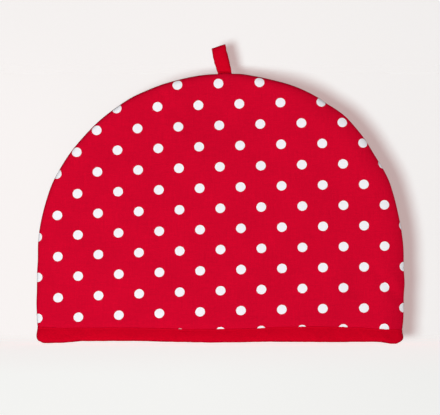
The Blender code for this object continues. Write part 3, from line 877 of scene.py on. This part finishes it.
def binding_piece(name):
    stations = binding_stations()
    rings, run, stitch_line = [], [0.0], {"outer": [], "inner": []}
    previous = None
    for panel, half, place in stations:
        at = half * along_width(place, float(half_width(half, 0.0)))
        low = float(ease(HEM[panel], 1, at))
        top = float(ease(HEM[panel], 2, at))
        under = half * along_width(place, float(half_width(half, 0.0)) - SEAM_STRIP)
        low_in = float(ease(HEM[panel], 1, under))   # of the leg inside
        mid = both_halves(panel, half, place, "outer", 0.0, 0.5 * (low + top))
        mid = (mid[0], panel * mid[1])
        if previous is not None:
            run.append(run[-1] + math.dist(mid, previous))
        previous = mid
        s = run[-1]
        # uneven edges, kept where the hem is pressed flat
        closed = Vector((mid[0], mid[1] * 3.0, 0.0))
        wave = noise.noise(closed / 14.0 + Vector((3.1, 0.0, 7.0)))
        ripple = noise.noise(closed / 5.5 + Vector((9.4, 2.0, 1.0)))
        top += 0.22 * wave + 0.12 * ripple
        low += min(1.0, low / 0.6) * (0.2 * wave + 0.16 * ripple)
        low_in += min(1.0, low_in / 0.6) * (0.2 * wave + 0.16 * ripple)
        # the tape's edge stands off the cloth at the right-hand corner
        lift = 0.0
        if panel < 0:
            lift = float(smooth((mid[0] - 170.0) / 4.0) * smooth((180.5 - mid[0]) / 2.5))
        # its folded end laps over its beginning on the back, by the right seam
        lap = 0.0
        if panel > 0:
            lap = 0.55 * float(smooth((mid[0] - 149.5) / 0.9) * smooth((163.5 - mid[0]) / 9.0))
        top -= 0.45 * lift

        def swing(z, size):
            """Soft slanting ripples of the bias strip between its edges."""
            if size == 0.0:
                return 0.0
            place = closed + Vector((0.8 * z, 0.0, 1.3 * z))
            r = noise.noise(place / 8.5 + Vector((1.0, 5.0, 2.0)))
            r2 = noise.noise(place / 17.0 + Vector((4.0, 1.0, 6.0)))
            return size * (0.34 * r + 0.4 * r2)

        ring, tall = [], top - low
        # (inset, height, how free the cloth is there)
        leg = [
            (0.98, top + 0.02, 0.0), (0.72, top - 0.04, 0.0), (0.56, top - 0.3, 0.1),
            (0.56, top - 0.7, 0.1), (0.74, top - 1.1, 0.0), (0.92, top - 1.42, 0.0),
            (0.8, top - 1.75, 0.1), (0.5, top - 2.4, 0.4),
        ]
        leg += [
            (0.5 - 1.5 * math.sin(0.5 * math.pi * t) ** 1.1, top - 2.4 - (tall - 4.9) * t, 1.0)
            for t in (0.17, 0.34, 0.5, 0.66, 0.83)
        ]
        leg += [
            (-0.92, low + 2.5, 0.6), (-0.68, low + 1.6, 0.4), (-0.2, low + 0.9, 0.2),
            (0.55, low + 0.4, 0.1), (1.55, low + 0.1, 0.0),
        ]
        for inset, z, free in leg:
            up = float(smooth((z - low) / tall))
            inset = inset - swing(z, free) - 0.75 * lift * up - lap * (z > low + 0.5)
            x, y = both_halves(panel, half, place, "outer", inset, z)
            ring.append((x, y, z))
        a = both_halves(panel, half, place, "outer", 2.4, low)
        b = both_halves(panel, half, place, "inner", TUCK - 2.4, low_in)
        for t, up in ((0.0, 0.03), (0.33, 0.0), (0.67, 0.0), (1.0, 0.03)):
            z = low + (low_in - low) * t + up
            ring.append((a[0] + (b[0] - a[0]) * t, a[1] + (b[1] - a[1]) * t, z))
        inner = [
            (1.7, low_in + 0.17, 0.0), (0.95, low_in + 0.55, 0.1),
            (0.42, low_in + 1.1, 0.2), (0.1, low_in + 1.75, 0.3),
            (-0.05, low_in + 2.5, 0.4),
            (-0.15, low_in + 4.6, 0.6), (-0.2, 0.5 * (low_in + top), 0.7),
            (-0.1, top - 4.0, 0.5), (0.0, top - 2.5, 0.2), (0.2, top - 1.6, 0.0),
            (0.16, top - 1.25, 0.0), (-0.02, top - 0.8, 0.0), (0.07, top - 0.42, 0.0),
            (0.34, top - 0.1, 0.0), (0.78, top + 0.02, 0.0),
        ]
        for inset, z, free in inner:
            into = TUCK - inset + 0.6 * swing(z, free)
            x, y = both_halves(panel, half, place, "inner", into, z)
            ring.append((x, y, z))
        for leg_name, inset, z in (
            ("inner", GAP, top - 0.2), ("inner", GAP, top - 4.0),
            ("inner", GAP, low_in + TAPE), ("outer", TAPE - 0.1, low + TAPE),
            ("outer", TAPE - 0.2, top - 5.0), ("outer", 1.0, top - 0.2),
        ):
            x, y = both_halves(panel, half, place, leg_name, inset, z)
            ring.append((x, y, z))
        rings.append([(x, panel * y, z) for x, y, z in ring])
        for leg_name, inset in (("outer", 0.8), ("inner", TUCK - 0.12)):
            inset = inset - (0.75 * lift + lap if leg_name == "outer" else 0.0)
            x, y = both_halves(panel, half, place, leg_name, inset, top - 1.42)
            stitch_line[leg_name].append((x, panel * y, top - 1.42))
    around = run[-1] + math.dist(previous, (rings[0][0][0], 0.0))
    run.append(around)

    size = len(rings[0])
    points = [p for ring in rings for p in ring]
    around_profile = np.concatenate([[0.0], np.cumsum([
        math.dist(a, b) for a, b in zip(rings[60], rings[60][1:] + rings[60][:1])
    ])])
    faces, slots, cloth, bake = [], [], [], []
    parts = 5
    count = len(rings)
    for i in range(count):
        j = (i + 1) % count
        part = min(parts - 1, int(parts * run[i] / around))
        start, end = run[i], run[i + 1]
        first = part * around / parts - 2.0
        for k in range(size):
            m = (k + 1) % size
            faces.append([i * size + k, j * size + k, j * size + m, i * size + m])
            slots.append(0)
            w = (around_profile[k], around_profile[k + 1])
            corners = ((start, w[0]), (end, w[0]), (end, w[1]), (start, w[1]))
            cloth += corners
            bake += [
                (
                    0.01 + 0.97 * (a - first) / (around / parts + 6.0),
                    (part + 0.03 + 0.9 * b / around_profile[-1]) / parts,
                )
                for a, b in corners
            ]
    if not turned_out(points, faces):
        faces = [f[::-1] for f in faces]
        cloth = [c for i in range(0, len(cloth), 4) for c in cloth[i:i + 4][::-1]]
        bake = [c for i in range(0, len(bake), 4) for c in bake[i:i + 4][::-1]]

    for leg_name, side in (("outer", 1.0), ("inner", -1.0)):
        line = np.array(stitch_line[leg_name])
        add_stitches(points, faces, slots, cloth, bake, line, True, side)
    points = np.array(points)
    points[:, 0] -= MIDDLE
    return make_piece(name, points, faces, slots, [bias, sewing], cloth, bake, 60.0)


STITCH_LONG, STITCH_PITCH, STITCH_THICK = 1.95, 2.5, 0.36


def add_stitches(points, faces, slots, cloth, bake, line, closed, side,
                 outwards=None, pitch=STITCH_PITCH, seed=5.0):
    """A row of short stitches along a line, as small bent sausages."""
    line = np.array(line, float)
    if closed:
        line = np.concatenate([line, line[:1]])
    run = np.concatenate([[0.0], np.cumsum(np.linalg.norm(np.diff(line, axis=0), axis=1))])
    number = int(run[-1] / pitch)
    for s in range(number):
        wob = noise.noise(Vector((s * 0.71, seed, 0.0)))
        mid = (s + 0.5 + 0.1 * wob) * run[-1] / number
        long = STITCH_LONG * pitch / STITCH_PITCH * (1.0 + 0.1 * noise.noise(Vector((s * 0.53, 1.0, seed))))
        ts = np.linspace(-0.5, 0.5, 6) * long + mid
        where = np.stack([np.interp(ts, run, line[:, k]) for k in range(3)], 1)
        ahead = where[-1] - where[0]
        ahead = ahead / np.linalg.norm(ahead)
        if outwards is None:
            out = np.array((ahead[1], -ahead[0], 0.0)) * side
        else:
            out = np.array([np.interp(mid, run, outwards[:, k]) for k in range(3)])
        out = out / np.linalg.norm(out)
        wide = np.cross(out, ahead)
        base = len(points)
        for t, p in zip(np.linspace(-1.0, 1.0, 6), where):
            swell_by = math.sqrt(max(0.0, 1.0 - t ** 4))
            r = 0.5 * STITCH_THICK * (0.35 + 0.65 * swell_by)
            rise = 0.16 * (1.0 - t * t) - 0.14
            slope = 0.09 * t + 0.05 * wob
            for a in range(7):
                turn = 2.0 * math.pi * a / 7
                points.append(tuple(
                    p + out * (rise + r * 0.75 * math.cos(turn))
                    + wide * (slope + r * math.sin(turn))
                ))
        for i in range(5):
            for a in range(7):
                b = (a + 1) % 7
                faces.append([base + i * 7 + a, base + i * 7 + b,
                              base + (i + 1) * 7 + b, base + (i + 1) * 7 + a])
                slots.append(1)
                corner = ((0.3 * i, 0.15 * a), (0.3 * i, 0.15 * (a + 1)),
                          (0.3 * (i + 1), 0.15 * (a + 1)), (0.3 * (i + 1), 0.15 * a))
                cloth += corner
                bake += [(0.985 + 0.006 * x / 1.5, 0.3 + 0.1 * y) for x, y in corner]
        for i, order in ((0, -1), (5, 1)):
            faces.append([base + i * 7 + a for a in range(7)][::order])
            slots.append(1)
            cloth += [(0.1 * math.cos(a), 0.1 * math.sin(a)) for a in range(7)][::order]
            bake += [
                (0.988 + 0.002 * math.cos(a), 0.45 + 0.01 * math.sin(a)) for a in range(7)
            ][::order]


# ------------------------------------------------------------------ loop --

def curve_through(rows, at):
    """Smooth values of a table's columns at positions in its first column."""
    rows = np.array(rows, float)
    x = rows[:, 0]
    slope = np.gradient(rows[:, 1:], x, axis=0)
    i = np.clip(np.searchsorted(x, at, side="right") - 1, 0, len(x) - 2)
    h = (x[i + 1] - x[i])[:, None]
    t = ((at - x[i]) / h[:, 0])[:, None]
    a, b = rows[i, 1:], rows[i + 1, 1:]
    return (
        (2 * t ** 3 - 3 * t ** 2 + 1) * a + (t ** 3 - 2 * t ** 2 + t) * h * slope[i]
        + (3 * t ** 2 - 2 * t ** 3) * b + (t ** 3 - t ** 2) * h * slope[i + 1]
    )


def edge_curl(w):
    """How far the tape's sides roll back, in mm, across its width."""
    right, left = max(0.0, w - 0.6), max(0.0, -w - 0.74)
    return 0.9 * max(0.0, w - 0.05) ** 2 + 11.0 * right ** 2 + 24.0 * left ** 2


def loop_piece(name):
    ht = 0.5 * LOOP_THICK
    under = []
    for half in (1, -1):
        x, z, _ = arch(half, np.linspace(0.0, 1.0, 61))
        near = (x > -6.0) & (x < 12.0)
        under.append((z + swell(x, z) * z / np.hypot(x, z))[near])
    base = float(np.concatenate(under).max()) + GAP
    ups = np.concatenate([[0.0, 0.4, 0.8, 1.15, 1.5, 1.85, 2.3, 2.8], np.arange(3.5, 21.01, 0.875)])
    leg = curve_through(LOOP, ups)
    rows = [(-1.0, 3.85, 12.5, 0.0, 0.12)]           # held in the seam
    rows += [(up, *values) for up, values in zip(ups, leg)]
    stations = [(a, -g - ht, up, tilt, w, g) for up, a, w, tilt, g in rows]
    up, across, width, tilt, gap = rows[-1]
    steps = 18
    for step in range(1, steps):
        turn = math.pi * step / steps
        t = math.sin(turn)
        stations.append((
            across + (FOLD_ACROSS - across) * t, -(gap + ht) * math.cos(turn),
            up + (FOLD_UP - up) * t, tilt + (FOLD_TILT - tilt) * t, width,
            gap * abs(math.cos(turn)),
        ))
    stations += [(a, g + ht, up, tilt, w, g) for up, a, w, tilt, g in reversed(rows)]

    # Flat tape with turned-in, stitched sides: across (-1 to 1), thickness.
    profile = [
        (-1.0, 0.0), (-0.985, 0.55), (-0.94, 0.92), (-0.88, 1.06), (-0.8, 1.08),
        (-0.7, 0.86), (-0.5, 0.88), (-0.25, 0.93), (0.0, 0.95), (0.25, 0.93),
        (0.5, 0.88), (0.68, 0.84), (0.78, 1.04), (0.86, 1.08), (0.93, 0.95),
        (0.98, 0.55), (1.0, 0.0),
    ]
    ring_shape = profile + [(w, -t * 0.95) for w, t in profile[-2:0:-1]]
    points, rings, stitch_lines, outs, run = [], [], ([], []), [], [0.0]
    middles = []
    for i, (across, y, up, tilt, width, gap) in enumerate(stations):
        before = stations[max(i - 1, 0)]
        after = stations[min(i + 1, len(stations) - 1)]
        dy, dz = after[1] - before[1], after[2] - before[2]
        if i in (0, len(stations) - 1):
            dy, dz = 0.0, math.copysign(1.0, dz)
        size = math.hypot(dy, dz)
        a = math.radians(tilt)
        wide = np.array((math.cos(a), 0.0, math.sin(a)))
        out = np.array((-math.sin(a) * dy / size, -dz / size, math.cos(a) * dy / size))
        middle = np.array((across, y, base + up))
        middles.append(middle)
        if i:
            run.append(run[-1] + float(np.linalg.norm(middle - middles[-2])))
        # the sides curl back a little, the right more than the left
        free = float(smooth((up + 1.0) / 8.0)) * min(1.0, gap / 1.9 + 0.1)
        pinch = math.exp(-(((up - 1.5) / 0.8) ** 2)) if up < 5 else 0.0
        ring = []
        for w, t in ring_shape:
            curl = edge_curl(w)
            fold = 0.16 * noise.noise(Vector((2.2 * w, 0.12 * up + (3.0 if y > 0 else 0.0), 1.7)))
            gather = 0.22 * math.sin(5.2 * w + 1.0) * math.exp(-max(up, 0.0) / 4.0)
            off = ht * t - free * curl + fold * free + gather * (t > 0) * 0.6
            off -= (0.75 * (t > 0) + 0.5) * pinch
            side = 0.53 * width * w * (1.0 - 0.012 * math.sin(0.9 * up + 1.0))
            ring.append(middle + wide * side + out * off)
        rings.append(ring)
        for line, w in zip(stitch_lines, (-0.8, 0.82)):
            curl = edge_curl(w)
            line.append(middle + wide * (0.53 * width * w) + out * (ht * 1.06 - free * curl))
        outs.append(out)
    size = len(rings[0])
    points = [tuple(p) for ring in rings for p in ring]
    lengths = np.array(run)
    turn_run = np.concatenate([[0.0], np.cumsum([
        math.dist(a, b) for a, b in zip(rings[20], rings[20][1:] + rings[20][:1])
    ])])
    faces, slots, cloth, bake = [], [], [], []
    for i in range(len(rings) - 1):
        for k in range(size):
            m = (k + 1) % size
            faces.append([i * size + k, i * size + m, (i + 1) * size + m, (i + 1) * size + k])
            slots.append(0)
            s, w = (lengths[i], lengths[i + 1]), (turn_run[k], turn_run[k + 1])
            corners = ((s[0], w[0]), (s[0], w[1]), (s[1], w[1]), (s[1], w[0]))
            cloth += corners
            bake += [
                (0.02 + 0.93 * a / lengths[-1], 0.02 + 0.9 * b / turn_run[-1])
                for a, b in corners
            ]
    for i, order in ((0, -1), (len(rings) - 1, 1)):
        faces.append([i * size + k for k in range(size)][::order])
        slots.append(0)
        ends = [(w, t) for w, t in ring_shape][::order]
        cloth += [(7.0 * w, 0.6 * t) for w, t in ends]
        bake += [(0.5 + 0.2 * w + 0.22 * order, 0.96 + 0.02 * t) for w, t in ends]
    if not turned_out(points, faces):
        start, new_cloth, new_bake = 0, [], []
        for f in faces:
            end = start + len(f)
            new_cloth += cloth[start:end][::-1]
            new_bake += bake[start:end][::-1]
            start = end
        faces = [f[::-1] for f in faces]
        cloth, bake = new_cloth, new_bake
    for seed, line in zip((2.0, 6.0), stitch_lines):
        add_stitches(
            points, faces, slots, cloth, bake, line[2:-2], False, 1.0,
            np.array(outs[2:-2]), 2.3, seed,
        )
    points = np.array(points)
    points[:, 0] -= MIDDLE
    return make_piece(name, points, faces, slots, [tape, sewing], cloth, bake, 60.0)


# ---------------------------------------------------------------- camera --

def make_camera():
    data = bpy.data.cameras.new("camera")
    data.lens, data.sensor_width = LENS, SENSOR
    data.clip_start, data.clip_end = 0.5, 60.0
    camera = bpy.data.objects.new("camera", data)
    camera.location = (LOOK_X * MM, -AWAY * MM, LOOK_Z * MM)
    camera.rotation_euler = (math.radians(90.0), 0.0, 0.0)
    bpy.context.scene.collection.objects.link(camera)
    bpy.context.scene.camera = camera
    return camera


# ----------------------------------------------------------------- stage --

def plain_mesh(name, points, faces):
    mesh = bpy.data.meshes.new(name)
    mesh.from_pydata(points, [], faces)
    mesh.update()
    obj = bpy.data.objects.new(name, mesh)
    bpy.context.scene.collection.objects.link(obj)
    return obj


PALE = (0.905, 0.885, 0.878)


def make_floor():
    r = 30.0
    floor = plain_mesh(
        "floor", [(-r, -r, 0.0), (r, -r, 0.0), (r, r, 0.0), (-r, r, 0.0)], [(0, 1, 2, 3)]
    )
    floor.location.z = -0.0002
    material = bpy.data.materials.new("floor")
    material.use_nodes = True
    shader = material.node_tree.nodes["Principled BSDF"]
    shader.inputs["Base Color"].default_value = (0.60, 0.58, 0.57, 1.0)
    shader.inputs["Roughness"].default_value = 1.0
    shader.inputs["Specular IOR Level"].default_value = 0.0
    shader.inputs["Emission Strength"].default_value = 1.0
    # painted light: the floor's glow is a little dimmer to the right, and warmer, pinker, close to the
    # cosy, a painted cast of light reflected from the red cloth
    tree = material.node_tree
    where = tree.nodes.new("ShaderNodeTexCoord")
    split = tree.nodes.new("ShaderNodeSeparateXYZ")
    tree.links.new(where.outputs["Object"], split.inputs[0])
    side = calculate(tree, "MULTIPLY_ADD", split.outputs[0], 4.26, 0.13)
    tree.nodes[-1].use_clamp = True
    near = calculate(tree, "MULTIPLY_ADD", split.outputs[1], 0.5, 1.1)
    tree.nodes[-1].use_clamp = True
    colours = []
    for left, right in (
        ((0.818, 0.820, 0.805), (0.773, 0.775, 0.761)),
        ((0.821, 0.784, 0.774), (0.805, 0.766, 0.756)),
    ):
        colours.append(blend(tree, side, left, right))
    tree.links.new(blend(tree, near, *colours), shader.inputs["Emission Color"])
    floor.data.materials.append(material)
    floor.visible_shadow = floor.visible_diffuse = floor.visible_glossy = False
    return floor


def make_wall(name, y, foot, fade):
    """A pale backdrop just behind the cosy, seen from the front only.

    It fades in above its foot, and out again beyond the picture.
    """
    wide, tall = 0.32, 0.44
    wall = plain_mesh(
        name, [(-wide, y, foot), (wide, y, foot), (wide, y, tall), (-wide, y, tall)],
        [(0, 1, 2, 3)],
    )
    material = bpy.data.materials.new(name)
    material.use_nodes = True
    tree = material.node_tree
    tree.nodes.remove(tree.nodes["Principled BSDF"])
    out = tree.nodes["Material Output"]
    new, link = tree.nodes.new, tree.links.new
    glow, paper, add = new("ShaderNodeEmission"), new("ShaderNodeBsdfDiffuse"), new("ShaderNodeAddShader")
    paper.inputs[0].default_value = (0.0198, 0.0255, 0.0255, 1.0)
    link(glow.outputs[0], add.inputs[0])
    link(paper.outputs[0], add.inputs[1])
    even, lit_or_even = new("ShaderNodeEmission"), new("ShaderNodeMixShader")
    even.inputs[0].default_value = (*PALE, 1.0)
    clear, mix = new("ShaderNodeBsdfTransparent"), new("ShaderNodeMixShader")
    where = new("ShaderNodeTexCoord")
    split = new("ShaderNodeSeparateXYZ")
    link(where.outputs["Object"], split.inputs[0])
    x, z = split.outputs[0], split.outputs[2]

    def ramp(value, start, end):
        node = new("ShaderNodeMapRange")
        node.interpolation_type = "SMOOTHSTEP"
        node.inputs["From Min"].default_value, node.inputs["From Max"].default_value = start, end
        link(value, node.inputs["Value"])
        return node.outputs[0]

    # painted light: the glow dims a little towards the right and the top, and is a little brighter low on
    # the left, as if the light fell off
    right = ramp(x, -0.02, 0.26)
    left = calculate(tree, "MULTIPLY", ramp(x, -0.1, -0.2), ramp(z, 0.34, 0.2))
    share = calculate(tree, "MULTIPLY_ADD", right, -0.055, 1.0)
    share = calculate(tree, "MULTIPLY_ADD", left, 0.045, share)
    share = calculate(tree, "MULTIPLY_ADD", ramp(z, 0.27, 0.35), -0.01, share)
    # painted reflected light: the glow is pinkish and the lamp-lit paper bluish, so where the cosy blocks
    # the lamp the shadow keeps a painted red cast, as from light off the red cloth
    glow.inputs[0].default_value = (0.535, 0.393, 0.383, 1.0)
    link(share, glow.inputs[1])

    shape = new("ShaderNodeNewGeometry")
    value = calculate(tree, "SUBTRACT", 1.0, shape.outputs["Backfacing"])
    # painted light: behind the middle of the cosy, where no light comes, it glows evenly pale over the
    # cosy's shadow
    out_x = calculate(tree, "MULTIPLY", x, 1.0 / 0.180)
    out_z = calculate(tree, "MULTIPLY", z, 1.0 / 0.265)
    out_x = calculate(tree, "MULTIPLY", out_x, out_x)
    radius = calculate(tree, "SQRT", calculate(tree, "MULTIPLY_ADD", out_z, out_z, out_x))
    link(ramp(radius, 0.92, 0.62), lit_or_even.inputs[0])
    link(add.outputs[0], lit_or_even.inputs[1])
    link(even.outputs[0], lit_or_even.inputs[2])
    for part in (
        ramp(calculate(tree, "ABSOLUTE", x), 0.31, 0.225), ramp(z, 0.43, 0.345),
        ramp(z, foot, foot + fade),
    ):
        value = calculate(tree, "MULTIPLY", value, part)
    link(value, mix.inputs[0])
    link(clear.outputs[0], mix.inputs[1])
    link(lit_or_even.outputs[0], mix.inputs[2])
    link(mix.outputs[0], out.inputs["Surface"])
    wall.data.materials.append(material)
    wall.visible_diffuse = wall.visible_glossy = wall.visible_transmission = False
    wall.visible_shadow = wall.visible_volume_scatter = False
    return wall


def blend(tree, share, a, b):
    node = tree.nodes.new("ShaderNodeMix")
    node.data_type = "RGBA"
    tree.links.new(share, node.inputs[0])
    for socket, value in ((node.inputs[6], a), (node.inputs[7], b)):
        if isinstance(value, bpy.types.NodeSocket):
            tree.links.new(value, socket)
        else:
            socket.default_value = (*value, 1.0)
    return node.outputs[2]


def calculate(tree, operation, *values):
    node = tree.nodes.new("ShaderNodeMath")
    node.operation = operation
    for slot, value in enumerate(values):
        if isinstance(value, bpy.types.NodeSocket):
            tree.links.new(value, node.inputs[slot])
        else:
            node.inputs[slot].default_value = value
    return node.outputs[0]


def sun(name, direction, strength, angle, colour=(1.0, 1.0, 1.0)):
    """A soft distant lamp; direction points from the cosy to the lamp."""
    data = bpy.data.lights.new(name, "SUN")
    data.energy, data.angle, data.color = strength, math.radians(angle), colour
    lamp = bpy.data.objects.new(name, data)
    lamp.rotation_mode = "QUATERNION"
    lamp.rotation_quaternion = Vector(direction).to_track_quat("Z", "Y")
    bpy.context.scene.collection.objects.link(lamp)
    return lamp


def make_world():
    world = bpy.data.worlds.new("studio")
    bpy.context.scene.world = world
    world.use_nodes = True
    tree = world.node_tree
    new, link = tree.nodes.new, tree.links.new
    soft = tree.nodes["Background"]
    where = new("ShaderNodeTexCoord")
    split = new("ShaderNodeSeparateXYZ")
    link(where.outputs["Generated"], split.inputs[0])
    level = calculate(tree, "MULTIPLY", split.outputs[1], split.outputs[1])
    link(calculate(tree, "MULTIPLY_ADD", level, 0.14, 0.08), soft.inputs["Strength"])
    soft.inputs["Color"].default_value = (1.0, 0.995, 0.99, 1.0)
    seen_by_camera = new("ShaderNodeBackground")
    seen_by_camera.inputs["Color"].default_value = (*PALE, 1.0)
    path, mix = new("ShaderNodeLightPath"), new("ShaderNodeMixShader")
    link(path.outputs["Is Camera Ray"], mix.inputs[0])
    link(soft.outputs[0], mix.inputs[1])
    link(seen_by_camera.outputs[0], mix.inputs[2])
    link(mix.outputs[0], tree.nodes["World Output"].inputs["Surface"])


# ------------------------------------------------------------------ main --

make_camera()

front = panel_piece("front_cloth", -1)
back = panel_piece("back_cloth", 1)
hem = binding_piece("hem_tape")
loop = loop_piece("loop_tape")
for piece, node, slot in (
    (front, "front_panel", "dotted_cloth"), (back, "back_panel", "dotted_cloth"),
    (hem, "hem_binding", "plain_binding"), (loop, "top_loop", "plain_binding"),
):
    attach(piece, "root")
    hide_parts(node)

make_floor()
walls = [
    make_wall("backdrop", 0.0475, 0.0, 0.010),
    make_wall("backdrop_by_loop", 0.0315, 0.265, 0.010),
]
make_world()
sun("key", (-0.09, -1.0, -0.16), 2.96, 24.0)
sun("side", (-1.0, -0.06, -0.45), 0.42, 20.0)
sun("far_side", (0.12, 1.0, -0.04), 2.46, 24.0)
shade = sun("backdrop_lamp", (-13.8, -45.0, -5.1), 60.0, 17.0)
lit = bpy.data.collections.new("lit_backdrop")
casting = bpy.data.collections.new("casts_on_backdrop")
for wall in walls:
    lit.objects.link(wall)
for piece in (front, back, hem, loop):
    casting.objects.link(piece)
shade.light_linking.receiver_collection = lit
shade.light_linking.blocker_collection = casting

scene = bpy.context.scene
scene.view_settings.view_transform = "Standard"
scene.view_settings.look = "None"
